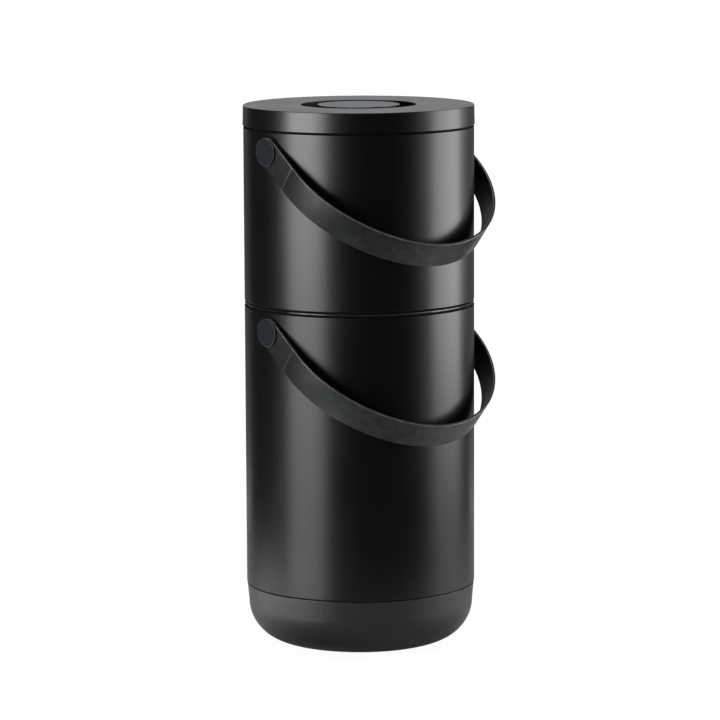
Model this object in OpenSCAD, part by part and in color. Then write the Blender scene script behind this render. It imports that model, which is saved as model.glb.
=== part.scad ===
// Two-tier stacking compost bin with a lift-off lid and a strap handle on each tier.
// The axis of the bin is Z, the floor is z = 0, and both handles hang towards -Y.

/* [Body] */
// Outer diameter of both tubes
body_d = 240; // [225:1:260]
// Thickness of the tubes' sheet metal
sheet = 1.0; // [0.8:0.1:1.4]
// Radius of the rolled edge at each end of a tube
rolled_edge = 0.5; // [0.3:0.1:0.8]

/* [Heights] */
// Middle of the seam between the lower tube and its base
seam_z = 62.4; // [58:0.1:70]
// Middle of the bead between the two tiers
join_z = 359.0; // [300:0.1:380]
// Top of the upper tube
mouth_z = 542.0; // [500:0.1:580]
// Top of the lid
total_h = 564.5; // [562:0.5:600]
// Drop from the top of each tube to its handle's pivots
pivot_drop = 19.7; // [19:0.1:26]

/* [Grooves] */
// Height of the shadow grooves beside the bead and under the lid
groove_h = 1.9; // [1.2:0.1:2]
// Height of the glossy bead between the tiers
bead_h = 1.7; // [1.4:0.1:4]
// How far the bead stands back from the tubes
bead_inset = 0.2; // [0:0.1:1]
// Height of the seam above the base
seam_h = 1.2; // [0.6:0.1:2]

/* [Base] */
// How far the base stands back from the tube at the seam
base_inset = 0.4; // [0:0.1:0.8]
// Inward draft of the base's wall from the seam to its round bottom edge
base_draft = 1.8; // [0.5:0.1:4]
// Radius of the round bottom edge
base_round = 42.3; // [30:0.1:50]
// Wall thickness of the base and the upper bin's floor
base_wall = 2.5; // [2:0.1:3]
// Height of the base's underside above the floor
base_lift = 0.8; // [0.5:0.1:1.5]
// Thickness of the anti-slip pad
pad_t = 2.0; // [1.6:0.1:2.4]

/* [Mouth] */
// Clear radius of the mouth of each bin
mouth_r = 112; // [100:0.5:112]
// Depth of the collars that sit in the mouths
collar_h = 9; // [6:0.5:10]
// Depth of the spigots that drop into the mouths
spigot_h = 12; // [10:0.5:14]

/* [Lid] */
// How far the skirt's lower edge stands proud of the tube
skirt_proud = 0.65; // [0:0.05:0.8]
// How far the skirt's top edge stands proud of the tube
skirt_top_proud = 0.2; // [0:0.05:0.8]
// Thickness of the lid's shell
lid_wall = 1.2; // [1:0.1:1.5]
// Diameter of the ring-shaped finger well
well_d = 120.5; // [110:0.5:130]
// Inward slope of the well's outer wall from top to floor
well_slope = 2; // [0:0.5:6]
// Diameter of the grip disc
grip_d = 85; // [70:0.5:90]
// Depth of the grip's waist, where the fingers hold it
grip_waist = 5; // [2:0.5:6]

/* [Handles] */
// Width of the strap at its pivots
strap_w_end = 28.6; // [24:0.1:30]
// Width of the strap at its front
strap_w_front = 30.2; // [24:0.1:32]
// Thickness of the strap
strap_t = 2.8; // [2:0.1:3]
// Thickness of the flat tab at each end of the strap
tab_t = 3.6; // [3:0.1:4]
// Length of the flat tab from the pivot to its step
tab_len = 40.5; // [30:0.5:50]
// Distance from the pivots to the middle of the strap's front
strap_reach = 167.5; // [167:0.5:175]
// How far the strap bows out past its pivots
strap_bow = 5; // [0:0.5:10]
// How far the strap runs on along its tabs before it turns
side_pull = 68.5; // [50:0.5:80]
// How wide the strap's front is before it turns
front_pull = 65; // [50:0.5:80]
// Angle of the strap below horizontal when it rests against the bin
strap_drop = 38.4; // [30:0.1:38.5]
// Diameter of the button heads
button_d = 28.6; // [26:0.1:36]
// Height of the buttons
button_h = 1.9; // [1.5:0.1:3]
// Height of the narrower foot under each button head
button_foot_h = 0.8; // [0.3:0.1:1]
// Diameter of the pivot pins
pin_d = 8; // [6:0.5:8]

/* [Hidden] */
body_r = body_d / 2;
inner_r = body_r - sheet;
push_gap = 0.1;
push_r = inner_r - push_gap;
face_gap = 0.1;
side_gap = 0.15;
run_gap = 0.06;
thread_gap = 0.02;
seal_gap = 0.3;
seal_r = 1.1;
seal_back = 0.1;

lower_top = join_z - bead_h / 2 - groove_h;
lower_bottom = seam_z + seam_h / 2;
upper_bottom = join_z + bead_h / 2 + groove_h;
lower_pivot_z = lower_top - pivot_drop;
upper_pivot_z = mouth_z - pivot_drop;
skirt_z = mouth_z + groove_h;
spigot_r = mouth_r - 1.5;
spigot_wall = 2.2;
collar_wall = 1.2;
base_top_r = body_r - base_inset;
base_low_r = base_top_r - base_draft;
base_edge = 0.3;
bead_edge = 0.4;
pad_r = 74;
pad_recess_r = pad_r + 0.3;

liner_t = 1.4;
liner_r = inner_r + 0.2;
well_floor = skirt_z + liner_t + lid_wall;
lid_edge = 1;
well_fillet = 3;
grip_edge = 1;
grip_proud = 0.1;
grip_wall = 3;
screw_ring_r = 25;
screw_r = 2;
screw_head_r = 3.8;
screw_head_h = 2;
screw_depth = 9.8;
boss_r = 5;

spacer_r = 12;
spacer_x = body_r + 1;
tab_x = spacer_x + 0.2;
tab_mid_x = tab_x + tab_t / 2;
button_x = tab_x + tab_t + side_gap;
button_edge = 0.5;
button_socket = 0.8;
strap_end_r = strap_w_end / 2;
eyelet_r = 6;
pin_r = pin_d / 2;
pin_chamfer = 0.6;
pin_inner_x = inner_r - 7.1;
washer_r = 9;
washer_x = inner_r - 2.4;
nut_r = 8;
nut_x = inner_r - 6.4;
bend_steps = 20;
slack = 0.01;
round_fn = 180;
small_fn = 64;

// Points along an arc from angle a to angle b
function arc(centre, r, a, b, steps = 6) =
    [for (i = [0 : steps]) centre + r * [cos(a + (b - a) * i / steps), sin(a + (b - a) * i / steps)]];

// A ring turned from a list of [radius, height] points
module turned(points) {
    rotate_extrude($fn = round_fn)
        polygon(points);
}

// A cylinder along +X or -X, from x0 to x1, at height z
module side_cylinder(side, z, r, x0, x1, fn = small_fn) {
    translate([side * min(x0, x1), 0, z])
        rotate([0, side * 90, 0])
            cylinder(h = abs(x1 - x0), r = r, $fn = fn);
}

// Two copies of a piece, one for each side of the bin
module both_sides() {
    for (side = [-1, 1]) {
        $side = side;
        children();
    }
}

// ---- Tubes ----

// A tube with rolled ends and two pivot holes
module tube(z0, z1, pivot_z) {
    difference() {
        turned(concat(
            [[inner_r, z0]],
            arc([body_r - rolled_edge, z0 + rolled_edge], rolled_edge, -90, 0),
            arc([body_r - rolled_edge, z1 - rolled_edge], rolled_edge, 0, 90),
            [[inner_r, z1]]
        ));
        both_sides()
            side_cylinder($side, pivot_z, pin_r + push_gap, inner_r - 2, body_r + 2);
    }
}

// A channel-shaped collar in the mouth of a tube whose top is at z
module collar(z) {
    top = z + groove_h - face_gap;
    turned([
        [mouth_r, z - collar_h],
        [mouth_r + collar_wall, z - collar_h],
        [mouth_r + collar_wall, z],
        [push_r - collar_wall, z],
        [push_r - collar_wall, z - collar_h],
        [push_r, z - collar_h],
        [push_r, top - 0.3],
        [push_r - 0.3, top],
        [mouth_r + 0.6, top],
        [mouth_r, top - 0.6]
    ]);
}

// Outline of a spigot's seal groove, from bottom to top
function seal_groove(z) = [
    [spigot_r, z - seal_r - seal_back],
    [spigot_r + seal_r - seal_gap - 2 * seal_r, z - seal_r - seal_back],
    [spigot_r + seal_r - seal_gap - 2 * seal_r, z + seal_r + seal_back],
    [spigot_r, z + seal_r + seal_back]
];

// A seal ring round a spigot
module seal(z) {
    rotate_extrude($fn = round_fn)
        translate([mouth_r - seal_gap - seal_r, z])
            circle(r = seal_r, $fn = 24);
}

// ---- Lid ----

lid_seal_z = skirt_z - spigot_h / 2;
stack_seal_z = join_z - bead_h / 2 - spigot_h / 2;

module lid_shell() {
    bottom_r = body_r + skirt_proud;
    top_r = body_r + skirt_top_proud;
    well_r = well_d / 2;
    floor_r = well_r - well_slope;
    color([0.10, 0.10, 0.11])
        difference() {
            turned(concat(
                [[0, well_floor - lid_wall], [floor_r - well_fillet, well_floor - lid_wall]],
                arc([floor_r - well_fillet, well_floor + well_fillet], well_fillet + lid_wall, -90, 0),
                [[well_r + lid_wall, total_h - lid_wall], [top_r - lid_wall, total_h - lid_wall]],
                [[bottom_r - lid_wall, skirt_z], [bottom_r - 0.3, skirt_z], [bottom_r, skirt_z + 0.3]],
                arc([top_r - lid_edge, total_h - lid_edge], lid_edge, 0, 90),
                arc([well_r + lid_edge, total_h - lid_edge], lid_edge, 90, 180),
                arc([floor_r - well_fillet, well_floor + well_fillet], well_fillet, 0, -90),
                [[0, well_floor]]
            ));
            grip_screw_holes(well_floor - lid_wall - 1, well_floor + 1, screw_r + push_gap);
        }
}

// Three holes, or three round posts, on the screws' circle
module grip_screw_holes(z0, z1, r) {
    for (turn = [0 : 120 : 240])
        rotate([0, 0, turn + 30])
            translate([screw_ring_r, 0, z0])
                cylinder(h = z1 - z0, r = r, $fn = small_fn);
}

module lid_grip() {
    top = total_h + grip_proud;
    grip_r = grip_d / 2;
    waist_z = (well_floor + top) / 2;
    shoulder = 4;
    inner_top = top - grip_wall;
    hollow_r = grip_r - grip_waist - grip_wall;
    color([0.22, 0.23, 0.25])
        difference() {
            union() {
                turned(concat(
                    [[0, inner_top], [hollow_r, inner_top], [hollow_r, well_floor]],
                    [[grip_r - 2, well_floor], [grip_r - 2, well_floor + 1.5]],
                    [[grip_r - grip_waist, waist_z - 2], [grip_r - grip_waist, waist_z + 1]],
                    [[grip_r, top - shoulder]],
                    arc([grip_r - grip_edge, top - grip_edge], grip_edge, 0, 90),
                    [[0, top]]
                ));
                grip_screw_holes(well_floor, inner_top + slack, boss_r);
            }
            grip_screw_holes(well_floor - 1, well_floor + screw_depth + 0.5, screw_r + thread_gap);
        }
}

module lid_grip_screws() {
    color([0.70, 0.71, 0.72]) {
        grip_screw_holes(skirt_z - slack, well_floor + screw_depth, screw_r);
        grip_screw_holes(skirt_z - screw_head_h, skirt_z, screw_head_r);
    }
}

module lid_liner() {
    color([0.16, 0.16, 0.17])
        difference() {
            turned(concat(
                [[0, skirt_z], [spigot_r - spigot_wall, skirt_z]],
                [[spigot_r - spigot_wall, skirt_z - spigot_h], [spigot_r - 1, skirt_z - spigot_h]],
                [[spigot_r, skirt_z - spigot_h + 1]],
                seal_groove(lid_seal_z),
                [[spigot_r, skirt_z], [liner_r, skirt_z], [liner_r, skirt_z + liner_t]],
                [[0, skirt_z + liner_t]]
            ));
            grip_screw_holes(skirt_z - 1, skirt_z + liner_t + 1, screw_r + push_gap);
        }
}

module lid_seal() {
    color([0.30, 0.30, 0.31])
        seal(lid_seal_z);
}

// ---- Upper bin ----

module upper_body() {
    color([0.09, 0.09, 0.10])
        tube(upper_bottom, mouth_z, upper_pivot_z);
}

module upper_base() {
    bead_mid_r = body_r - bead_inset - bead_edge;
    under = join_z - bead_h / 2;
    over = join_z + bead_h / 2;
    foot = under - spigot_h;
    wall_top = upper_bottom + 8;
    color([0.13, 0.13, 0.14])
        turned(concat(
            [[0, upper_bottom - base_wall], [spigot_r - spigot_wall, upper_bottom - base_wall]],
            [[spigot_r - spigot_wall, foot], [spigot_r - 1, foot], [spigot_r, foot + 1]],
            seal_groove(stack_seal_z),
            [[spigot_r, under]],
            arc([bead_mid_r, under + bead_edge], bead_edge, -90, 0),
            arc([bead_mid_r, over - bead_edge], bead_edge, 0, 90),
            [[push_r, over], [push_r, wall_top], [push_r - 2, wall_top]],
            arc([push_r - 6, upper_bottom + 4], 4, 0, -90),
            [[0, upper_bottom]]
        ));
}

module upper_rim() {
    color([0.05, 0.05, 0.06])
        collar(mouth_z);
}

module stack_seal() {
    color([0.30, 0.30, 0.31])
        seal(stack_seal_z);
}

// ---- Lower bin ----

module lower_body() {
    color([0.09, 0.09, 0.10])
        tube(lower_bottom, lower_top, lower_pivot_z);
}

module lower_base() {
    top = seam_z - seam_h / 2;
    wall_top = top + 9;
    in_r = base_top_r - base_wall - 0.5;
    centre = [base_low_r - base_round, base_lift + base_round];
    color([0.12, 0.12, 0.13])
        turned(concat(
            [[0, pad_t], [pad_recess_r, pad_t], [pad_recess_r, base_lift]],
            arc(centre, base_round, -90, 0, 16),
            arc([base_top_r - base_edge, top - base_edge], base_edge, 0, 90),
            [[push_r, top], [push_r, wall_top - 1], [push_r - 1, wall_top]],
            [[in_r, wall_top], [in_r, top - 4]],
            arc(centre, base_round - base_wall, 0, -90, 16),
            [[0, base_lift + base_wall]]
        ));
}

module lower_rim() {
    color([0.05, 0.05, 0.06])
        collar(lower_top);
}

module foot_pad() {
    color([0.15, 0.15, 0.15])
        turned([[0, 0], [pad_r - 0.5, 0], [pad_r, 0.5], [pad_r, pad_t], [0, pad_t]]);
}

// ---- Strap handles ----

// The middle of the strap, seen square to its face, is a straight tab and then a cubic curve
p0 = [tab_mid_x, tab_len];
p1 = [tab_mid_x + strap_bow, tab_len + side_pull];
p2 = [front_pull, strap_reach];
p3 = [0, strap_reach];

function bend_point(t) =
    pow(1 - t, 3) * p0 + 3 * pow(1 - t, 2) * t * p1 + 3 * (1 - t) * t * t * p2 + pow(t, 3) * p3;

function bend_way(t) =
    3 * pow(1 - t, 2) * (p1 - p0) + 6 * (1 - t) * t * (p2 - p1) + 3 * t * t * (p3 - p2);

// A point of the curve, moved out by d square to it
function bend_side(t, d) =
    let (way = bend_way(t))
    bend_point(t) + d * [way[1], -way[0]] / norm(way);

// One side of the whole curve, from the +X tab round the front to the -X tab
function strap_side(d) = concat(
    [for (i = [0 : bend_steps]) bend_side(i / bend_steps, d)],
    [for (i = [bend_steps - 1 : -1 : 0]) let (p = bend_side(i / bend_steps, d)) [-p[0], p[1]]]
);

function backwards(points) = [for (i = [len(points) - 1 : -1 : 0]) points[i]];

// The curved band between the tabs, in a frame where it lies flat and points to -Y
module band() {
    half = strap_t / 2;
    overlap = [0, -2];
    outer = strap_side(half);
    inner = strap_side(-half);
    last = len(outer) - 1;
    mirror([0, 1, 0])
        intersection() {
            translate([0, 0, -strap_w_front])
                linear_extrude(height = 2 * strap_w_front)
                    polygon(concat(
                        [outer[0] + overlap], outer, [outer[last] + overlap],
                        [inner[last] + overlap], backwards(inner), [inner[0] + overlap]
                    ));
            rotate([90, 0, 90])
                translate([0, 0, -2 * body_r])
                    linear_extrude(height = 4 * body_r)
                        polygon([
                            [0, -strap_w_end / 2], [strap_reach + 10, -strap_w_front / 2],
                            [strap_reach + 10, strap_w_front / 2], [0, strap_w_end / 2]
                        ]);
        }
}

// A flat tab with a round end, on one side
module tab(side) {
    translate([side > 0 ? tab_x : -tab_x - tab_t, 0, 0])
        rotate([90, 0, 90])
            linear_extrude(height = tab_t) {
                circle(r = strap_end_r, $fn = small_fn);
                translate([-tab_len, -strap_w_end / 2])
                    square([tab_len, strap_w_end]);
            }
}

module strap(pivot_z) {
    translate([0, 0, pivot_z])
        rotate([strap_drop, 0, 0])
            difference() {
                union() {
                    band();
                    tab(-1);
                    tab(1);
                }
                both_sides()
                    side_cylinder($side, 0, eyelet_r + thread_gap, tab_x - 1, tab_x + tab_t + 1);
            }
}

module eyelets(pivot_z) {
    both_sides()
        difference() {
            side_cylinder($side, pivot_z, eyelet_r, tab_x, tab_x + tab_t);
            side_cylinder($side, pivot_z, pin_r + run_gap, tab_x - 1, tab_x + tab_t + 1);
        }
}

module buttons(pivot_z) {
    button_r = button_d / 2;
    button_foot_r = button_r - 1.8;
    both_sides()
        difference() {
            translate([$side * button_x, 0, pivot_z])
                rotate([0, $side * 90, 0])
                    rotate_extrude($fn = small_fn * 2)
                        polygon(concat(
                            [[0, 0], [button_foot_r, 0], [button_foot_r, button_foot_h]],
                            [[button_r - 0.2, button_foot_h], [button_r, button_foot_h + 0.2]],
                            arc([button_r - button_edge, button_h - button_edge], button_edge, 0, 90),
                            [[0, button_h]]
                        ));
            side_cylinder($side, pivot_z, pin_r + thread_gap, button_x - 1, button_x + button_socket);
        }
}

module pins(pivot_z) {
    long = button_x + button_socket - thread_gap - pin_inner_x;
    both_sides()
        translate([$side * pin_inner_x, 0, pivot_z])
            rotate([0, $side * 90, 0])
                rotate_extrude($fn = small_fn)
                    polygon([
                        [0, 0], [pin_r - pin_chamfer, 0], [pin_r, pin_chamfer], [pin_r, long], [0, long]
                    ]);
}

// Flat outside, and hollowed inside to sit on the tube
module spacers(pivot_z) {
    both_sides()
        difference() {
            side_cylinder($side, pivot_z, spacer_r, body_r - 2, spacer_x);
            translate([0, 0, pivot_z - 2 * spacer_r])
                cylinder(h = 4 * spacer_r, r = body_r + slack, $fn = round_fn);
            side_cylinder($side, pivot_z, pin_r + push_gap, body_r - 3, spacer_x + 1);
        }
}

// Flat inside, and rounded outside to sit in the tube
module washers(pivot_z) {
    both_sides()
        difference() {
            intersection() {
                side_cylinder($side, pivot_z, washer_r, washer_x, body_r + 1);
                translate([0, 0, pivot_z - 2 * washer_r])
                    cylinder(h = 4 * washer_r, r = inner_r - slack, $fn = round_fn);
            }
            side_cylinder($side, pivot_z, pin_r + push_gap, washer_x - 1, body_r + 2);
        }
}

module nuts(pivot_z) {
    both_sides()
        difference() {
            side_cylinder($side, pivot_z, nut_r, nut_x, washer_x, 6);
            side_cylinder($side, pivot_z, pin_r + thread_gap, nut_x - 1, washer_x + 1);
        }
}

module upper_strap() {
    color([0.20, 0.20, 0.21])
        strap(upper_pivot_z);
}

module upper_strap_eyelets() {
    color([0.70, 0.71, 0.72])
        eyelets(upper_pivot_z);
}

module upper_buttons() {
    color([0.20, 0.21, 0.23])
        buttons(upper_pivot_z);
}

module upper_pivot_pins() {
    color([0.70, 0.71, 0.72])
        pins(upper_pivot_z);
}

module upper_pivot_spacers() {
    color([0.08, 0.08, 0.08])
        spacers(upper_pivot_z);
}

module upper_pivot_washers() {
    color([0.25, 0.25, 0.26])
        washers(upper_pivot_z);
}

module upper_pivot_nuts() {
    color([0.72, 0.73, 0.74])
        nuts(upper_pivot_z);
}

module lower_strap() {
    color([0.20, 0.20, 0.21])
        strap(lower_pivot_z);
}

module lower_strap_eyelets() {
    color([0.70, 0.71, 0.72])
        eyelets(lower_pivot_z);
}

module lower_buttons() {
    color([0.20, 0.21, 0.23])
        buttons(lower_pivot_z);
}

module lower_pivot_pins() {
    color([0.70, 0.71, 0.72])
        pins(lower_pivot_z);
}

module lower_pivot_spacers() {
    color([0.08, 0.08, 0.08])
        spacers(lower_pivot_z);
}

module lower_pivot_washers() {
    color([0.25, 0.25, 0.26])
        washers(lower_pivot_z);
}

module lower_pivot_nuts() {
    color([0.72, 0.73, 0.74])
        nuts(lower_pivot_z);
}

lid_shell();
lid_grip();
lid_grip_screws();
lid_liner();
lid_seal();
upper_body();
upper_base();
upper_rim();
stack_seal();
upper_strap();
upper_strap_eyelets();
upper_buttons();
upper_pivot_pins();
upper_pivot_spacers();
upper_pivot_washers();
upper_pivot_nuts();
lower_body();
lower_base();
lower_rim();
foot_pad();
lower_strap();
lower_strap_eyelets();
lower_buttons();
lower_pivot_pins();
lower_pivot_spacers();
lower_pivot_washers();
lower_pivot_nuts();
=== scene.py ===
"""Looks of a two-tier stacking compost bin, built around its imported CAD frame.

Metres, in the CAD frame: the bin's axis is Z, the floor is z = 0, and the handles hang towards -Y.
"""
import math

import bmesh
import bpy
from mathutils import Matrix, Vector

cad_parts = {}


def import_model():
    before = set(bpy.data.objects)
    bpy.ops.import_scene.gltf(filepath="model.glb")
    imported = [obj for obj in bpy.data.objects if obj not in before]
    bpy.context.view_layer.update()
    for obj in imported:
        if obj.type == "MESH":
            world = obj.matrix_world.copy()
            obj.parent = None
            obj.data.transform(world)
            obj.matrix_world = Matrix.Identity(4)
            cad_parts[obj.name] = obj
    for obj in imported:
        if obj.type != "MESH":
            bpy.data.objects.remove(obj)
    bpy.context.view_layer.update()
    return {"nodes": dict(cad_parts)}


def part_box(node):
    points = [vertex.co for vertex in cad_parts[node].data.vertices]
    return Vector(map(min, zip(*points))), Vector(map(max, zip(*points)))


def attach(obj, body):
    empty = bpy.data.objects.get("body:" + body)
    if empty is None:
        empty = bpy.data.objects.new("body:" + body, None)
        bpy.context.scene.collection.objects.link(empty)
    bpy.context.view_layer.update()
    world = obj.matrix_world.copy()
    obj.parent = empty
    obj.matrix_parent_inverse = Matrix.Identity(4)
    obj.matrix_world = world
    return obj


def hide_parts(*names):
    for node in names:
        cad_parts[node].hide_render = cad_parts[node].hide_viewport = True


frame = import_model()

MM = 0.001


# ---- Levels and radii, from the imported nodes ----

def low(node):
    """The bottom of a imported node."""
    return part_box(node)[0].z


def high(node):
    """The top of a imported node."""
    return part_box(node)[1].z


TUBE_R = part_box("upper_body")[1].x
SHEET = 1.0 * MM
INNER_R = TUBE_R - SHEET
FACE_GAP = 0.1 * MM
PUSH_R = INNER_R - FACE_GAP      # radius of the pieces pushed into a tube
GROOVE_H = low("lid_shell") - high("upper_body")
MOUTH_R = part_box("lid_seal")[1].x + 0.3 * MM
LID_TOP = high("lid_shell")
SPIGOT_R = MOUTH_R - 1.5 * MM
SPIGOT_WALL = 2.2 * MM
SEAL_R = (high("lid_seal") - low("lid_seal")) / 2
SEAL_GROOVE = SEAL_R + 0.1 * MM
PIN_HOLE_R = 4.1 * MM
CUT_REACH = 10 * MM              # how far a cutting rod stands out of the tube
UPPER_PIVOT = (low("upper_buttons") + high("upper_buttons")) / 2
LOWER_PIVOT = (low("lower_buttons") + high("lower_buttons")) / 2

ROUND_SEGMENTS = 288
BUTTON_SEGMENTS = 192
SMALL_SEGMENTS = 96
CORNER_STEPS = 5
SUPPORT = 0.35 * MM      # from a rounded corner to the row of vertices beside it
SAME_POINT = 1e-7        # vertices nearer to each other than this are one
CUT_MERGE = 0.002 * MM   # the same, after a cut
AXIS_R = 0.001 * MM      # an outline point nearer to the axis than this is on it
SHARP_ANGLE = math.radians(32)
# The materials read this value for the edge wear and for the painted highlight along the edges.
EDGE = "edge"            # a vertex value, 1 on rounded corners, that the materials' wear reads


# ---- Mesh helpers ----

def rounded(corners):
    """Outline points (r, z, edge) from (r, z, fillet) corners.

    A fillet becomes an arc of points with edge 1, and a point with edge 0 on each side of it.
    """
    count = len(corners)
    points = []
    for i, (r, z, fillet) in enumerate(corners):
        here = Vector((r, z))
        if fillet == 0:
            points.append((r, z, 0))
            continue
        back = Vector(corners[i - 1][:2]) - here
        on = Vector(corners[(i + 1) % count][:2]) - here
        turn = math.pi - back.angle(on)
        reach = fillet * math.tan(turn / 2)
        start = here + back.normalized() * reach
        end = here + on.normalized() * reach
        inward = (back.normalized() + on.normalized()).normalized()
        middle = here + inward * (fillet / math.cos(turn / 2))
        if back.length > reach + 2 * SUPPORT:
            points.append((*(start + back.normalized() * SUPPORT), 0))
        first = start - middle
        sign = 1 if first.cross(end - middle) > 0 else -1
        for k in range(CORNER_STEPS + 1):
            spot = middle + Matrix.Rotation(sign * turn * k / CORNER_STEPS, 2) @ first
            points.append((*spot, 1))
        if on.length > reach + 2 * SUPPORT:
            points.append((*(end + on.normalized() * SUPPORT), 0))
    return points


def arc(r, z, radius, a0, a1, steps):
    """Corners without fillets along an arc about (r, z), from a0 to a1 degrees."""
    made = []
    for k in range(steps + 1):
        a = math.radians(a0 + (a1 - a0) * k / steps)
        made.append((r + radius * math.cos(a), z + radius * math.sin(a), 0))
    return made


def shade(mesh):
    """Smooth shading that keeps hard corners sharp."""
    for face in mesh.polygons:
        face.use_smooth = True
    mesh.set_sharp_from_angle(angle=SHARP_ANGLE)


def finish_mesh(name, bm):
    """Turns a bmesh into a shaded object in the scene."""
    bmesh.ops.remove_doubles(bm, verts=bm.verts, dist=SAME_POINT)
    bmesh.ops.recalc_face_normals(bm, faces=bm.faces)
    mesh = bpy.data.meshes.new(name)
    bm.to_mesh(mesh)
    bm.free()
    shade(mesh)
    made = bpy.data.objects.new(name, mesh)
    bpy.context.scene.collection.objects.link(made)
    return made


def turned(name, corners, segments=ROUND_SEGMENTS):
    """A solid turned about Z from a closed outline of (r, z, fillet) corners."""
    bm = bmesh.new()
    edge = bm.verts.layers.float.new(EDGE)
    rings = []
    for r, z, mark in rounded(corners):
        ring = []
        for s in range(segments if r > AXIS_R else 1):
            a = 2 * math.pi * s / segments
            ring.append(bm.verts.new((r * math.cos(a), r * math.sin(a), z)))
            ring[-1][edge] = mark
        rings.append(ring)
    for i, ring in enumerate(rings):
        onward = rings[(i + 1) % len(rings)]
        if len(ring) == 1 and len(onward) == 1:
            continue
        for s in range(segments):
            t = (s + 1) % segments
            near = [ring[s % len(ring)], ring[t % len(ring)]]
            far = [onward[t % len(onward)], onward[s % len(onward)]]
            bm.faces.new(list(dict.fromkeys(near + far)))
    return finish_mesh(name, bm)


def cut(obj, tool):
    """Cuts tool out of obj, merges the slivers that the cut leaves, and removes the tool."""
    change = obj.modifiers.new("cut", "BOOLEAN")
    change.operation = "DIFFERENCE"
    change.solver = "EXACT"
    change.object = tool
    graph = bpy.context.evaluated_depsgraph_get()
    mesh = bpy.data.meshes.new_from_object(obj.evaluated_get(graph))
    bm = bmesh.new()
    bm.from_mesh(mesh)
    bmesh.ops.remove_doubles(bm, verts=bm.verts, dist=CUT_MERGE)
    bm.to_mesh(mesh)
    bm.free()
    obj.modifiers.clear()
    obj.data = mesh
    bpy.data.objects.remove(tool)
    shade(mesh)


def side_rod(radius, half_length, z):
    """A round rod along X, used as a cutting tool."""
    bm = bmesh.new()
    bmesh.ops.create_cone(
        bm, cap_ends=True, segments=SMALL_SEGMENTS,
        radius1=radius, radius2=radius, depth=2 * half_length,
        matrix=Matrix.Translation((0, 0, z)) @ Matrix.Rotation(math.pi / 2, 4, "Y"),
    )
    return finish_mesh("cutting_rod", bm)


def coat_bands(obj, finish, *bands):
    """Gives a finish to the faces whose middles lie in a band (z0, z1, inner r, outer r)."""
    obj.data.materials.append(finish)
    for face in obj.data.polygons:
        r = math.hypot(face.center.x, face.center.y)
        for z0, z1, r0, r1 in bands:
            if z0 < face.center.z < z1 and r0 < r < r1:
                face.material_index = len(obj.data.materials) - 1


def place(obj, body, slot, material, *nodes):
    """Gives a piece its body and its material, and hides the CAD nodes that it stands for; slot is not
    used.
    """
    obj.data.materials.clear()
    obj.data.materials.append(material)
    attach(obj, body)
    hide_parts(*nodes)


# ---- Materials ----

class Shader:
    """A Principled material with small helpers for its procedural detail."""

    def __init__(self, name, **sockets):
        self.material = bpy.data.materials.new(name)
        self.material.use_nodes = True
        self.nodes = self.material.node_tree.nodes
        self.links = self.material.node_tree.links
        self.surface = self.nodes["Principled BSDF"]
        for key, value in sockets.items():
            self.surface.inputs[key.replace("_", " ")].default_value = value
        self.position = self.nodes.new("ShaderNodeTexCoord").outputs["Object"]
        self.height = None
        self.color = None

    def noise(self, scale, detail=2.0, rough=0.5, stretch=(1, 1, 1)):
        """Noise in the object's own space; scale is in features per metre."""
        mapping = self.nodes.new("ShaderNodeMapping")
        mapping.inputs["Scale"].default_value = stretch
        self.links.new(self.position, mapping.inputs["Vector"])
        made = self.nodes.new("ShaderNodeTexNoise")
        made.inputs["Scale"].default_value = scale
        made.inputs["Detail"].default_value = detail
        made.inputs["Roughness"].default_value = rough
        self.links.new(mapping.outputs["Vector"], made.inputs["Vector"])
        return made.outputs["Fac"]

    def spread(self, value, low_in, high_in, low_out, high_out):
        """Maps value from one range to another, and holds it at the ends."""
        made = self.nodes.new("ShaderNodeMapRange")
        ends = {"From Min": low_in, "From Max": high_in, "To Min": low_out, "To Max": high_out}
        for key, number in ends.items():
            made.inputs[key].default_value = number
        self.links.new(value, made.inputs["Value"])
        return made.outputs["Result"]

    def times(self, one, other):
        """The product of two values."""
        made = self.nodes.new("ShaderNodeMath")
        made.operation = "MULTIPLY"
        self.links.new(one, made.inputs[0])
        self.links.new(other, made.inputs[1])
        return made.outputs["Value"]

    def edge_wear_and_highlight(self, amount):
        """How much each point is worn and painted lighter as a highlight: the edges, broken up by noise."""
        made = self.nodes.new("ShaderNodeAttribute")
        made.attribute_name = EDGE
        patches = self.spread(self.noise(90, 3, 0.6), 0.35, 0.65, 0.35 * amount, amount)
        return self.times(made.outputs["Fac"], patches)

    def tint(self, value, dark, light):
        """Colour from dark to light; after the first call, from the colour so far to light."""
        made = self.nodes.new("ShaderNodeMix")
        made.data_type = "RGBA"
        made.inputs["A"].default_value = (*dark, 1)
        if self.color is not None:
            self.links.new(self.color, made.inputs["A"])
        made.inputs["B"].default_value = (*light, 1)
        self.links.new(value, made.inputs["Factor"])
        self.color = made.outputs["Result"]
        self.links.new(self.color, self.surface.inputs["Base Color"])

    def roughen(self, value, polish=None, polished=0.0):
        """Roughness from value; where polish is 1 it becomes the polished roughness."""
        if polish is not None:
            made = self.nodes.new("ShaderNodeMix")
            made.inputs["B"].default_value = polished
            self.links.new(value, made.inputs["A"])
            self.links.new(polish, made.inputs["Factor"])
            value = made.outputs["Result"]
        self.links.new(value, self.surface.inputs["Roughness"])

    def bump(self, value, distance, strength=1.0):
        """Adds a bump of this height on top of the bumps so far."""
        made = self.nodes.new("ShaderNodeBump")
        made.inputs["Distance"].default_value = distance
        made.inputs["Strength"].default_value = strength
        self.links.new(value, made.inputs["Height"])
        if self.height is not None:
            self.links.new(self.height, made.inputs["Normal"])
        self.height = made.outputs["Normal"]
        self.links.new(self.height, self.surface.inputs["Normal"])


def grey(value, blue=0.0):
    """A near-neutral colour; blue is the share by which it leans to blue."""
    return (value * (1 - blue / 2), value, value * (1 + blue))


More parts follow.
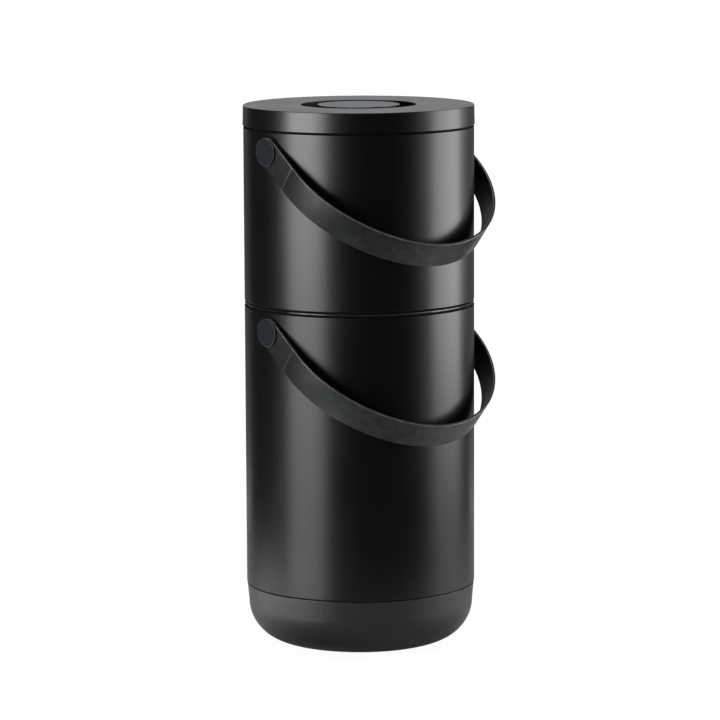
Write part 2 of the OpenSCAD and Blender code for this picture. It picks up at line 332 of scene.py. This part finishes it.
def powder_coat(name, dark, light, rough_low, rough_high):
    """Satin powder coat: a fine orange peel, a cloudy sheen, faint grain and rubbed edges; the edges are
    also painted lighter, partly as wear and partly as a painted highlight.
    """
    made = Shader(name, Specular_IOR_Level=0.5)
    cloud = made.noise(14, 3, 0.55, (1, 1, 0.5))
    grain = made.noise(900, 2)
    edge_wear_and_highlight = made.edge_wear_and_highlight(0.6)
    made.tint(made.spread(grain, 0.3, 0.7, 0, 1), dark, light)
    # Lighter edges: partly wear, partly a painted highlight.
    made.tint(edge_wear_and_highlight, dark, grey(0.02))
    made.roughen(made.spread(cloud, 0.3, 0.7, rough_low, rough_high), edge_wear_and_highlight, 0.2)
    made.bump(grain, 0.02 * MM, 0.35)
    made.bump(made.noise(260, 1), 0.03 * MM, 0.25)
    return made.material


def moulded(name, dark, light, rough_low, rough_high, grain=0.02, specular=0.5, ior=1.5, edge=0.05):
    """Moulded plastic: an even spark texture, slight flow clouding and polished edges, painted in the edge
    colour; that colour is partly wear and partly a painted highlight.
    """
    made = Shader(name, Specular_IOR_Level=specular, IOR=ior)
    cloud = made.noise(30, 2, 0.5)
    spark = made.noise(1400, 3, 0.65)
    edge_wear_and_highlight = made.edge_wear_and_highlight(0.8)
    made.tint(cloud, dark, light)
    # Edges in the edge colour: partly wear, partly a painted highlight.
    made.tint(edge_wear_and_highlight, dark, grey(edge))
    made.roughen(made.spread(spark, 0.3, 0.7, rough_low, rough_high), edge_wear_and_highlight, rough_low * 0.7)
    made.bump(spark, grain * MM, 0.5)
    return made.material


def silicone(name, dark, light, rough_low, rough_high, specular, edge):
    """Matte silicone: dusty mottling, a fine blasted texture, a soft sheen and shiny rubbed edges, painted
    in the edge colour; that colour is partly wear and partly a painted highlight.
    """
    made = Shader(name, Specular_IOR_Level=specular, Sheen_Weight=0.02, Sheen_Roughness=0.5)
    dust = made.noise(120, 5, 0.7)
    blast = made.noise(1600, 2)
    edge_wear_and_highlight = made.edge_wear_and_highlight(1.0)
    made.tint(made.spread(dust, 0.35, 0.65, 0, 1), dark, light)
    # Edges in the edge colour: partly wear, partly a painted highlight.
    made.tint(edge_wear_and_highlight, dark, grey(edge))
    made.roughen(made.spread(dust, 0.3, 0.7, rough_high, rough_low), edge_wear_and_highlight, rough_low * 0.6)
    made.bump(blast, 0.02 * MM, 0.5)
    made.bump(made.noise(240, 2), 0.05 * MM, 0.4)
    return made.material


def steel(name, color, rough_low, rough_high):
    """Plated steel in one colour: turned marks and small darker clouds."""
    made = Shader(name, Metallic=1.0)
    marks = made.noise(500, 2, 0.5, (1, 0.1, 0.1))
    cloud = made.noise(120, 2)
    darker = tuple(c * 0.82 for c in color)
    made.tint(cloud, darker, color)
    made.roughen(made.spread(marks, 0.3, 0.7, rough_low, rough_high))
    made.bump(marks, 0.01 * MM, 0.4)
    return made.material


# A finish takes a dark and a light colour, and then its lowest and highest roughness.
body_coat = powder_coat("body_powder_coat", grey(0.0014, 0.1), grey(0.0022, 0.1), 0.28, 0.34)
lid_coat = powder_coat("lid_powder_coat", grey(0.0020, 0.1), grey(0.0028, 0.1), 0.27, 0.33)
# Painted shade: a dark, nearly unreflective finish for the finger well and the grip's sides down in it,
# where the well lies in shade.
well_shade_finish = moulded("well_painted_shade", grey(0.0015), grey(0.0025), 0.45, 0.55, specular=0.13, edge=0.004)
# Painted highlight: edge=0.5 paints the grip's rounded rim light grey, as a bright line.
grip_finish = moulded("grip_satin", grey(0.025, 0.35), grey(0.030, 0.35), 0.30, 0.36, grain=0.01, edge=0.5)
base_finish = moulded(
    "base_satin", grey(0.002, 0.05), grey(0.003, 0.05), 0.27, 0.33,
    grain=0.012, specular=0.7, edge=0.02,
)
bead_finish = moulded(
    "bead_gloss", grey(0.004), grey(0.006), 0.09, 0.14,
    grain=0.002, specular=1.0, ior=1.8, edge=0.02,
)
collar_finish = moulded("collar_matte", grey(0.003), grey(0.004), 0.50, 0.60, edge=0.02)
# Painted shade: a near-black, unreflective finish for the gaps between parts, the rounded edges beside them
# and the button heads' sides.
painted_shade_finish = moulded("painted_shade_black", grey(0.001), grey(0.002), 0.75, 0.85, specular=0.1, edge=0.002)
liner_finish = moulded("liner_matte", grey(0.050, 0.03), grey(0.062, 0.03), 0.45, 0.55, edge=0.12)
# Painted highlight: edge=0.22 paints thin light lines along the strap's rounded edges.
strap_finish = silicone(
    "strap_silicone", grey(0.0010, 0.05), grey(0.0190, 0.05), 0.27, 0.43,
    specular=0.50, edge=0.22,
)
seal_finish = silicone("seal_silicone", grey(0.11), grey(0.14), 0.45, 0.55, specular=0.4, edge=0.2)
pad_finish = silicone("pad_rubber", grey(0.014), grey(0.020), 0.70, 0.80, specular=0.3, edge=0.05)
button_finish = moulded(
    "button_matte", (0.0085, 0.0092, 0.0122), (0.0105, 0.0112, 0.0142), 0.40, 0.48,
    specular=0.25, edge=0.12,
)
nylon_finish = moulded("nylon_black", grey(0.008), grey(0.011), 0.45, 0.55, edge=0.03)
steel_finish = steel("plated_steel", (0.62, 0.63, 0.64), 0.22, 0.34)


# ---- Tubes and collars ----

def tube(name, body, pivot):
    """A tube with rounded ends and a hole on each side for its pivot pins."""
    z0, z1 = low(name), high(name)
    edge = 0.5 * MM
    inner_edge = 0.1 * MM
    under_pins = pivot - 11 * MM
    over_pins = pivot + 11 * MM
    corners = [
        (INNER_R, z0, inner_edge), (TUBE_R, z0, edge),
        (TUBE_R, under_pins, 0), (TUBE_R, over_pins, 0),
        (TUBE_R, z1, edge), (INNER_R, z1, inner_edge),
        (INNER_R, over_pins, 0), (INNER_R, under_pins, 0),
    ]
    made = turned(name + "_shell", corners)
    cut(made, side_rod(PIN_HOLE_R, TUBE_R + CUT_REACH, pivot))
    place(made, body, "black_powder_coat", body_coat, name)
    # Painted shade: the tube's top rounded edge is painted near-black, as the shadow in the gap above it.
    coat_bands(made, painted_shade_finish, (z1 - edge, z1 + edge, INNER_R, TUBE_R + edge))


def collar(name, body):
    """The channel-shaped collar in a tube's mouth."""
    z0, top = low(name), high(name)
    tube_top = top - GROOVE_H + FACE_GAP
    wall = 1.2 * MM
    soft = 0.25 * MM
    mouth_edge = 0.7 * MM
    corners = [
        (MOUTH_R, z0, soft), (MOUTH_R + wall, z0, soft), (MOUTH_R + wall, tube_top, 0),
        (PUSH_R - wall, tube_top, 0), (PUSH_R - wall, z0, soft), (PUSH_R, z0, soft),
        (PUSH_R, tube_top - SUPPORT, 0), (PUSH_R, top, soft), (MOUTH_R, top, mouth_edge),
    ]
    made = turned(name + "_collar", corners)
    place(made, body, "collar_black", collar_finish, name)
    # Painted shade: the collar's neck, seen in the gap over the tube, is painted near-black.
    coat_bands(made, painted_shade_finish, (tube_top - SUPPORT, top, PUSH_R - 2 * soft, TUBE_R))


def seal_groove(node):
    """Corners of the groove round a spigot that holds this seal ring, from bottom to top."""
    middle = (low(node) + high(node)) / 2
    slack = 0.02 * MM
    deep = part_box(node)[1].x - 2 * SEAL_R - slack
    return [
        (SPIGOT_R, middle - SEAL_GROOVE, 0), (deep, middle - SEAL_GROOVE, 0),
        (deep, middle + SEAL_GROOVE, 0), (SPIGOT_R, middle + SEAL_GROOVE, 0),
    ]


def spigot(ceiling, foot, root, seal):
    """Corners of a spigot: its ceiling, its foot, its seal ring's groove and its outer root."""
    inner_r = SPIGOT_R - SPIGOT_WALL
    return [
        (0, ceiling, 0), (inner_r, ceiling, 1.5 * MM), (inner_r, foot, 0.5 * MM),
        (SPIGOT_R, foot, 1.0 * MM), *seal_groove(seal), (SPIGOT_R, root, 0.4 * MM),
    ]


tube("upper_body", "upper_bin", UPPER_PIVOT)
tube("lower_body", "lower_bin", LOWER_PIVOT)
collar("upper_rim", "upper_bin")
collar("lower_rim", "lower_bin")


# ---- Lid ----

SKIRT_Z = low("lid_shell")
LID_WALL = 1.2 * MM
WELL_FLOOR = low("lid_grip")
WELL_R = 60.25 * MM
WELL_SLOPE = 2 * MM
SKIRT_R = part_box("lid_shell")[1].x
LID_TOP_R = TUBE_R + 0.2 * MM


def lid_shell():
    """The lid's one sheet: its skirt, its face and the finger well."""
    floor_r = WELL_R - WELL_SLOPE
    under_floor = WELL_FLOOR - LID_WALL
    under_face = LID_TOP - LID_WALL
    soft = 0.6 * MM
    skirt_edge = 0.3 * MM
    inner_edge = 0.2 * MM
    corners = [
        (0, under_floor, 0), (floor_r, under_floor, 4.0 * MM),
        (WELL_R + LID_WALL, under_face, inner_edge), (LID_TOP_R - LID_WALL, under_face, inner_edge),
        (SKIRT_R - LID_WALL, SKIRT_Z, 0.1 * MM), (SKIRT_R, SKIRT_Z, skirt_edge),
        (LID_TOP_R, LID_TOP, soft), (WELL_R, LID_TOP, soft),
        (floor_r, WELL_FLOOR, 3.0 * MM), (0, WELL_FLOOR, 0),
    ]
    made = turned("lid_cover", corners)
    place(made, "lid", "lid_powder_coat", lid_coat, "lid_shell")
    # Painted shade: the finger well's walls and floor get the dark well finish.
    coat_bands(made, well_shade_finish, (WELL_FLOOR - FACE_GAP, LID_TOP - soft, 0, WELL_R))
    # Painted shade: the skirt's lower edge is painted near-black, as the shadow in the gap below it.
    coat_bands(made, painted_shade_finish, (SKIRT_Z - soft, SKIRT_Z + skirt_edge, MOUTH_R, SKIRT_R + soft))


def lid_grip():
    """The grip disc: a hollow puck with a waist for the fingertips and a fine edge, whose bright line is a
    painted highlight.
    """
    top = high("lid_grip")
    grip_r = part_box("lid_grip")[1].x
    waist_r = grip_r - 5 * MM
    waist_bend = 3 * MM
    middle = (WELL_FLOOR + top) / 2
    wall = 3 * MM
    rim = 0.45 * MM
    hollow_r = waist_r - wall
    foot_r = grip_r - 2 * MM
    foot_edge = 0.4 * MM
    flat_r = grip_r - 3 * MM
    dish = 0.12 * MM
    corners = [
        (0, top - wall, 0), (hollow_r, top - wall, 1 * MM), (hollow_r, WELL_FLOOR, 0.3 * MM),
        (foot_r, WELL_FLOOR, foot_edge), (foot_r, WELL_FLOOR + 1.5 * MM, foot_edge),
        (waist_r, middle - 2 * MM, waist_bend), (waist_r, middle + 1 * MM, waist_bend),
        (grip_r, top - 4 * MM, 0.8 * MM), (grip_r, top, rim),
        (flat_r, top - 0.02 * MM, 0), (0, top - dish, 0),
    ]
    made = turned("lid_grip_disc", corners)
    place(made, "lid", "grip_grey", grip_finish, "lid_grip")
    # Painted shade: the grip's sides and underside, down in the well, get the dark well finish instead of
    # the grip's grey.
    coat_bands(made, well_shade_finish, (WELL_FLOOR - wall, top - rim, 0, grip_r + wall))


def lid_liner():
    """The plate and spigot that close the lid's underside and centre it in the mouth."""
    top = high("lid_liner")
    plate_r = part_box("lid_liner")[1].x
    corners = [
        *spigot(SKIRT_Z, low("lid_liner"), SKIRT_Z, "lid_seal"),
        (plate_r, SKIRT_Z, 0.3 * MM), (plate_r, top, 0.2 * MM), (0, top, 0),
    ]
    made = turned("lid_liner_plate", corners)
    place(made, "lid", "liner_grey", liner_finish, "lid_liner")


lid_shell()
lid_grip()
lid_liner()


# ---- Bases ----

BASE_WALL = 2.5 * MM


def upper_base():
    """The upper bin's moulded floor, with the glossy bead and the spigot that fits the lower mouth."""
    floor_z = low("upper_body")
    top = high("upper_base")
    over = floor_z - GROOVE_H
    under = high("lower_body") + GROOVE_H
    bead_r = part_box("upper_base")[1].x
    bead_edge = 0.75 * MM
    lip_r = PUSH_R - 2 * MM
    corners = [
        *spigot(floor_z - BASE_WALL, low("upper_base"), under, "stack_seal"),
        (bead_r, under, bead_edge), (bead_r, over, bead_edge),
        (PUSH_R, over, 0), (PUSH_R, floor_z, 0), (PUSH_R, top, 0.3 * MM),
        (lip_r, top, 0.8 * MM), (lip_r, floor_z, 4 * MM), (0, floor_z, 0),
    ]
    made = turned("upper_floor", corners)
    place(made, "upper_bin", "bead_black", bead_finish, "upper_base")
    # Painted shade: the neck between the bead and the upper tube is painted near-black.
    coat_bands(made, painted_shade_finish, (over, floor_z, PUSH_R - FACE_GAP, TUBE_R))


def lower_base():
    """The rounded pan under the lower bin: a seam, a nearly upright side and a round bend."""
    tube_foot = low("lower_body")
    seam = tube_foot - 1.2 * MM
    top = high("lower_base")
    foot = low("lower_base")
    side_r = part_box("lower_base")[1].x
    inner_r = side_r - BASE_WALL - 0.5 * MM
    bend = 42.3 * MM
    bend_r = side_r - 1.8 * MM - bend
    bend_z = foot + bend
    bend_steps = 40
    pad_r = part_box("foot_pad")[1].x + 0.3 * MM
    pad_top = high("foot_pad")
    corners = [
        (0, pad_top, 0), (pad_r, pad_top, 0.2 * MM), (pad_r, foot, 0.1 * MM),
        *arc(bend_r, bend_z, bend, -90, 0, bend_steps),
        (side_r, seam, 0.3 * MM), (PUSH_R, seam, 0), (PUSH_R, tube_foot, 0),
        (PUSH_R, top, 1.0 * MM), (inner_r, top, 0.5 * MM), (inner_r, seam - 4 * MM, 0),
        *arc(bend_r, bend_z, bend - BASE_WALL, 0, -90, bend_steps), (0, foot + BASE_WALL, 0),
    ]
    made = turned("lower_pan", corners)
    place(made, "lower_bin", "base_black", base_finish, "lower_base")
    # Painted shade: the neck in the seam under the lower tube is painted near-black.
    coat_bands(made, painted_shade_finish, (seam + 0.01 * MM, tube_foot, PUSH_R - FACE_GAP, TUBE_R))


def foot_pad():
    """The anti-slip pad, with rings pressed into its underside."""
    edge_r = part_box("foot_pad")[1].x
    top = high("foot_pad")
    rings = 11
    pitch = 6 * MM
    deep = 0.6 * MM
    half_open = 1.2 * MM
    half_floor = 0.8 * MM
    soft = 0.2 * MM
    corners = [(0, 0, 0)]
    for ring in range(1, rings + 1):
        r = ring * pitch
        corners += [
            (r - half_open, 0, soft), (r - half_floor, deep, soft),
            (r + half_floor, deep, soft), (r + half_open, 0, soft),
        ]
    corners += [(edge_r, 0, 0.5 * MM), (edge_r, top, 0), (0, top, 0)]
    made = turned("foot_pad_rings", corners, SMALL_SEGMENTS)
    place(made, "lower_bin", "pad_rubber", pad_finish, "foot_pad")


upper_base()
lower_base()
foot_pad()


# ---- Strap handles ----

TAB_T = 3.6 * MM         # thickness of the end tabs
STRAP_T = 2.8 * MM       # thickness of the strap between them
TAB_LEN = 40.5 * MM
STEP_LEN = 1.0 * MM      # length of the step between the two
END_W = 28.6 * MM
FRONT_W = 30.2 * MM
REACH = 167.5 * MM       # from the pivots to the middle of the strap's front
BOW = 5 * MM             # BOW, SIDE_PULL and FRONT_PULL shape the curve from tab to front
SIDE_PULL = 68.5 * MM
FRONT_PULL = 65 * MM
STRAP_DROP = math.radians(38.4)  # how far the strap hangs below the level
STRAP_EDGE = 0.7 * MM
EYELET_R = 6.02 * MM
TIP_TURN = math.radians(86)
STEP_SHARES = (0.15, 0.85, 1.0)
CURVE_START = 0.02       # share of the curve that is left out at its start, for the step
TIP_STEPS = 10
TAB_STEPS = 14
BEND_STEPS = 60
EDGE_STEPS = 6
FACE_ROWS = 5
ROUNDEST = 0.98          # largest share of half a side that a rounded corner takes


def strap_half():
    """Stations of the strap's +X half from tip to front: (x, reach, width, thickness)."""
    tab_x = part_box("upper_strap")[1].x - TAB_T / 2
    end_r = END_W / 2
    stations = []
    for k in range(TIP_STEPS):
        a = TIP_TURN * (1 - k / TIP_STEPS)
        stations.append((tab_x, -end_r * math.sin(a), 2 * end_r * math.cos(a), TAB_T))
    for k in range(TAB_STEPS + 1):
        stations.append((tab_x, TAB_LEN * k / TAB_STEPS, END_W, TAB_T))
    for share in STEP_SHARES:
        stations.append((tab_x, TAB_LEN + STEP_LEN * share, END_W, TAB_T + (STRAP_T - TAB_T) * share))
    # A cubic curve from the end of the tab to the middle of the front.
    p0 = Vector((tab_x, TAB_LEN))
    p1 = Vector((tab_x + BOW, TAB_LEN + SIDE_PULL))
    p2 = Vector((FRONT_PULL, REACH))
    p3 = Vector((0, REACH))
    for k in range(BEND_STEPS + 1):
        t = CURVE_START + (1 - CURVE_START) * k / BEND_STEPS
        p = (1 - t) ** 3 * p0 + 3 * (1 - t) ** 2 * t * p1 + 3 * (1 - t) * t * t * p2 + t ** 3 * p3
        width = END_W + (FRONT_W - END_W) * p.y / REACH
        stations.append((p.x, p.y, width, STRAP_T))
    return stations


def section(width, thick):
    """A rounded rectangle across the strap, as (out, across, edge) points."""
    r = min(STRAP_EDGE, thick / 2 * ROUNDEST, width / 2 * ROUNDEST)
    points = []
    for sx, sy, start in ((1, 1, 0), (-1, 1, 90), (-1, -1, 180), (1, -1, 270)):
        middle = (sx * (thick / 2 - r), sy * (width / 2 - r))
        for k in range(EDGE_STEPS + 1):
            a = math.radians(start + 90 * k / EDGE_STEPS)
            mark = math.sin(math.pi * k / EDGE_STEPS)
            points.append((middle[0] + r * math.cos(a), middle[1] + r * math.sin(a), mark))
    made = []
    for i, p in enumerate(points):
        made.append(p)
        q = points[(i + 1) % len(points)]
        if abs(q[1] - p[1]) > 3 * r:
            # A broad face gets rows of its own, the outer two close to the rounded corners.
            near = SUPPORT / abs(q[1] - p[1])
            for share in (near, *(k / FACE_ROWS for k in range(1, FACE_ROWS)), 1 - near):
                made.append((p[0] + (q[0] - p[0]) * share, p[1] + (q[1] - p[1]) * share, 0))
    return made


def strap(name, body, pivot):
    """A silicone strap swept along its curve, with a thicker flat tab at each end."""
    half = strap_half()
    path = half + [(-x, y, w, t) for x, y, w, t in half[-2::-1]]
    bm = bmesh.new()
    edge = bm.verts.layers.float.new(EDGE)
    rings = []
    for i, (x, y, width, thick) in enumerate(path):
        ahead = path[min(i + 1, len(path) - 1)]
        behind = path[max(i - 1, 0)]
        way = Vector((ahead[0] - behind[0], ahead[1] - behind[1])).normalized()
        out = Vector((way.y, -way.x))
        ring = []
        for along_out, across, mark in section(width, thick):
            ring.append(bm.verts.new((x + out.x * along_out, -(y + out.y * along_out), across)))
            ring[-1][edge] = mark
        rings.append(ring)
    count = len(rings[0])
    for a, b in zip(rings, rings[1:]):
        for s in range(count):
            t = (s + 1) % count
            bm.faces.new((a[s], a[t], b[t], b[s]))
    bm.faces.new(rings[0])
    bm.faces.new(rings[-1])
    made = finish_mesh(name + "_band", bm)
    cut(made, side_rod(EYELET_R, TUBE_R + 2 * CUT_REACH, 0))
    made.data.transform(Matrix.Translation((0, 0, pivot)) @ Matrix.Rotation(STRAP_DROP, 4, "X"))
    place(made, body, "strap_silicone", strap_finish, name)


def buttons(name, body, pivot):
    """The two round button heads of one handle, each on a narrower foot, with a socket for its pin."""
    inner_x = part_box("upper_strap")[1].x + 0.15 * MM
    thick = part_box(name)[1].x - inner_x
    head_r = (high(name) - low(name)) / 2
    foot_r = head_r - 1.8 * MM
    foot_h = 0.8 * MM
    rim = 0.35 * MM
    flat_r = head_r - 2.5 * MM
    dish = 0.12 * MM
    socket_r = 4.02 * MM
    socket = 0.8 * MM
    corners = [
        (socket_r, 0, 0), (foot_r, 0, 0), (foot_r, foot_h, 0), (head_r, foot_h, 0.15 * MM),
        (head_r, thick, rim), (flat_r, thick - 0.01 * MM, 0), (0, thick - dish, 0),
        (0, socket, 0), (socket_r, socket, 0),
    ]
    for side, label in ((-1, "left"), (1, "right")):
        made = turned(name + "_" + label, corners, BUTTON_SEGMENTS)
        place(made, body, "button_grey", button_finish, name)
        # Painted shade: the foot and the head's side are painted near-black, as the shade under the head.
        coat_bands(made, painted_shade_finish, (-foot_h, thick - rim, foot_r - rim, TUBE_R))
        turn = Matrix.Rotation(side * math.pi / 2, 4, "Y")
        made.data.transform(Matrix.Translation((side * inner_x, 0, pivot)) @ turn)


strap("upper_strap", "upper_handle", UPPER_PIVOT)
strap("lower_strap", "lower_handle", LOWER_PIVOT)
buttons("upper_buttons", "upper_bin", UPPER_PIVOT)
buttons("lower_buttons", "lower_bin", LOWER_PIVOT)


# ---- CAD pieces that keep their own shape ----

def refinish(material, *nodes):
    """Gives CAD pieces a finished material."""
    for node in nodes:
        mesh = frame["nodes"][node].data
        mesh.materials.clear()
        mesh.materials.append(material)


refinish(seal_finish, "lid_seal", "stack_seal")
refinish(steel_finish, "lid_grip_screws")
for tier in ("upper", "lower"):
    refinish(steel_finish, tier + "_strap_eyelets", tier + "_pivot_pins", tier + "_pivot_nuts")
    refinish(nylon_finish, tier + "_pivot_spacers", tier + "_pivot_washers")


# ---- Studio ----

CAMERA_AZIMUTH = math.radians(-41.0)
CAMERA_DISTANCE = 3.919
CAMERA_HEIGHT = 0.8652
CAMERA_TILT = math.radians(8.35)
CAMERA_ROLL = math.radians(-0.26)
CAMERA_LENS = 188.85
CAMERA_SHIFT_X = 0.0004
CAMERA_SHIFT_Y = 0.0079
CAMERA_FAR = 50
FLOOR_R = 0.58
FLOOR_SEGMENTS = 128
FLOOR_BACK = 0.2         # how far the floor's middle lies behind the bin
FLOOR_GLOW = 0.95        # the floor that the camera sees glows by this
FLOOR_CHALK = 0.10       # and returns this share of the light, for the faint shadow
FLOOR_ALBEDO = 0.52      # the share of the light that the floor throws onto the bin
WORLD_SEEN = 1.05
WORLD_DIM = 0.035

# Azimuth, distance and width of the softboxes.
LEFT = (-53.4, 1.7, 1.18)
LEFT_CORE = (-53.4, 1.69, 1.16)
RIGHT = (95.6, 1.69, 1.24)
RIGHT_WIDE = (95.6, 1.7, 2.6)
BACK = 180
BACK_DISTANCE = 2.6
FLOOR_Z = 0.0
SPLIT_Z = 0.72           # above it the side softboxes are dimmer, to spare the lid's face
TOP_Z = 2.2
SPOT_CONE = math.radians(50)
SPOT_SIZE = 0.05


def camera():
    """The camera, at the photograph's viewing angle."""
    data = bpy.data.cameras.new("camera")
    data.lens = CAMERA_LENS
    data.shift_x = CAMERA_SHIFT_X
    data.shift_y = CAMERA_SHIFT_Y
    data.clip_end = CAMERA_FAR
    made = bpy.data.objects.new("camera", data)
    back = Vector((math.sin(CAMERA_AZIMUTH), -math.cos(CAMERA_AZIMUTH), 0))
    made.location = back * CAMERA_DISTANCE + Vector((0, 0, CAMERA_HEIGHT))
    turn = Matrix.Rotation(CAMERA_AZIMUTH, 4, "Z")
    tilt = Matrix.Rotation(math.pi / 2 - CAMERA_TILT, 4, "X")
    roll = Matrix.Rotation(CAMERA_ROLL, 4, "Z")
    made.rotation_euler = (turn @ tilt @ roll).to_euler()
    bpy.context.scene.collection.objects.link(made)
    bpy.context.scene.camera = made


def around(azimuth, distance, z):
    """A place round the bin's axis; azimuth is in degrees from the camera, + to its right."""
    a = CAMERA_AZIMUTH + math.radians(azimuth)
    return (math.sin(a) * distance, -math.cos(a) * distance, z)


def softbox(name, azimuth, distance, width, z0, z1, radiance):
    """An upright softbox that faces the bin's axis; its radiance doesn't depend on its size."""
    data = bpy.data.lights.new(name, "AREA")
    data.shape = "RECTANGLE"
    data.size = width
    data.size_y = z1 - z0
    data.energy = radiance * width * (z1 - z0) * math.pi
    made = bpy.data.objects.new(name, data)
    made.location = around(azimuth, distance, (z0 + z1) / 2)
    made.rotation_euler = (math.pi / 2, 0, CAMERA_AZIMUTH + math.radians(azimuth))
    made.visible_camera = False
    bpy.context.scene.collection.objects.link(made)
    return made


def top_light(azimuth, distance, z, size, radiance):
    """A square softbox above, tipped towards the lid."""
    made = softbox("top_softbox", azimuth, distance, size, z, z + size, radiance)
    aim = Vector((0, 0, LID_TOP)) - made.location
    made.rotation_euler = aim.to_track_quat("-Z", "Y").to_euler()


def floor_spot(name, azimuth, distance, height, power):
    """A spotlight straight down at the floor beside the bin; only its faint edge reaches the bin's foot."""
    data = bpy.data.lights.new(name, "SPOT")
    data.energy = power
    data.spot_size = SPOT_CONE
    data.spot_blend = 1.0
    data.shadow_soft_size = SPOT_SIZE
    made = bpy.data.objects.new(name, data)
    made.location = around(azimuth, distance, height)
    made.visible_camera = False
    bpy.context.scene.collection.objects.link(made)


def two_faced(nodes, links, output, seen, unseen):
    """Shows the camera one shader, and gives reflections and shade another."""
    mix = nodes.new("ShaderNodeMixShader")
    path = nodes.new("ShaderNodeLightPath")
    links.new(path.outputs["Is Camera Ray"], mix.inputs["Fac"])
    links.new(unseen, mix.inputs[1])
    links.new(seen, mix.inputs[2])
    links.new(mix.outputs["Shader"], nodes[output].inputs["Surface"])


def glow(nodes, kind, strength):
    """A plain white glow, from this kind of node."""
    made = nodes.new(kind)
    made.inputs["Color"].default_value = (1, 1, 1, 1)
    made.inputs["Strength"].default_value = strength
    return made.outputs[0]


def chalk(nodes, albedo):
    """A matt, neutral surface."""
    made = nodes.new("ShaderNodeBsdfDiffuse")
    made.inputs["Color"].default_value = (albedo, albedo, albedo, 1)
    return made.outputs[0]


def floor():
    """A plain white disc for the object to stand on, with a faint shadow where they meet."""
    bm = bmesh.new()
    behind = Vector((-math.sin(CAMERA_AZIMUTH), math.cos(CAMERA_AZIMUTH), 0)) * FLOOR_BACK
    bmesh.ops.create_circle(
        bm, cap_ends=True, segments=FLOOR_SEGMENTS, radius=FLOOR_R, matrix=Matrix.Translation(behind),
    )
    made = finish_mesh("floor", bm)
    paint = bpy.data.materials.new("floor_paint")
    paint.use_nodes = True
    nodes = paint.node_tree.nodes
    links = paint.node_tree.links
    nodes.remove(nodes["Principled BSDF"])
    both = nodes.new("ShaderNodeAddShader")
    links.new(glow(nodes, "ShaderNodeEmission", FLOOR_GLOW), both.inputs[0])
    links.new(chalk(nodes, FLOOR_CHALK), both.inputs[1])
    two_faced(nodes, links, "Material Output", both.outputs["Shader"], chalk(nodes, FLOOR_ALBEDO))
    made.data.materials.append(paint)


def world():
    """White to the camera, and dim to everything else, as in a studio with black flags."""
    made = bpy.data.worlds.new("studio")
    made.use_nodes = True
    nodes = made.node_tree.nodes
    links = made.node_tree.links
    nodes.remove(nodes["Background"])
    seen = glow(nodes, "ShaderNodeBackground", WORLD_SEEN)
    unseen = glow(nodes, "ShaderNodeBackground", WORLD_DIM)
    two_faced(nodes, links, "World Output", seen, unseen)
    bpy.context.scene.world = made


camera()
# After azimuth, distance and width, each softbox has its lower and upper level and its radiance.
softbox("left_softbox", *LEFT, FLOOR_Z, SPLIT_Z, 3.95)
softbox("left_softbox_high", *LEFT, SPLIT_Z, TOP_Z, 1.2)
softbox("left_softbox_low", *LEFT, -0.35, FLOOR_Z, 2.8)
softbox("left_softbox_core", *LEFT_CORE, 0.37, SPLIT_Z, 9.2)
softbox("right_softbox", *RIGHT, FLOOR_Z, SPLIT_Z, 5.1)
softbox("right_softbox_high", *RIGHT, SPLIT_Z, TOP_Z, 1.4)
softbox("right_softbox_low", *RIGHT, -0.6, FLOOR_Z, 0.5)
softbox("right_fill", *RIGHT_WIDE, 0.1, TOP_Z, 0.6)
softbox("back_panel_low", BACK, BACK_DISTANCE, 4.0, -0.8, -0.35, 0.75)
softbox("back_panel_middle", BACK, BACK_DISTANCE, 4.4, -0.35, 0.75, 0.14)
softbox("back_panel_high", BACK, BACK_DISTANCE, 2.4, 0.75, 1.85, 0.62)
top_light(BACK, 0.2, 2.0, 1.6, 4.2)
floor_spot("left_floor_spot", -72, 0.46, 0.8, 98)
floor_spot("right_floor_spot", 80, 0.36, 0.6, 12)
floor()
world()
bpy.context.scene.view_settings.view_transform = "Standard"
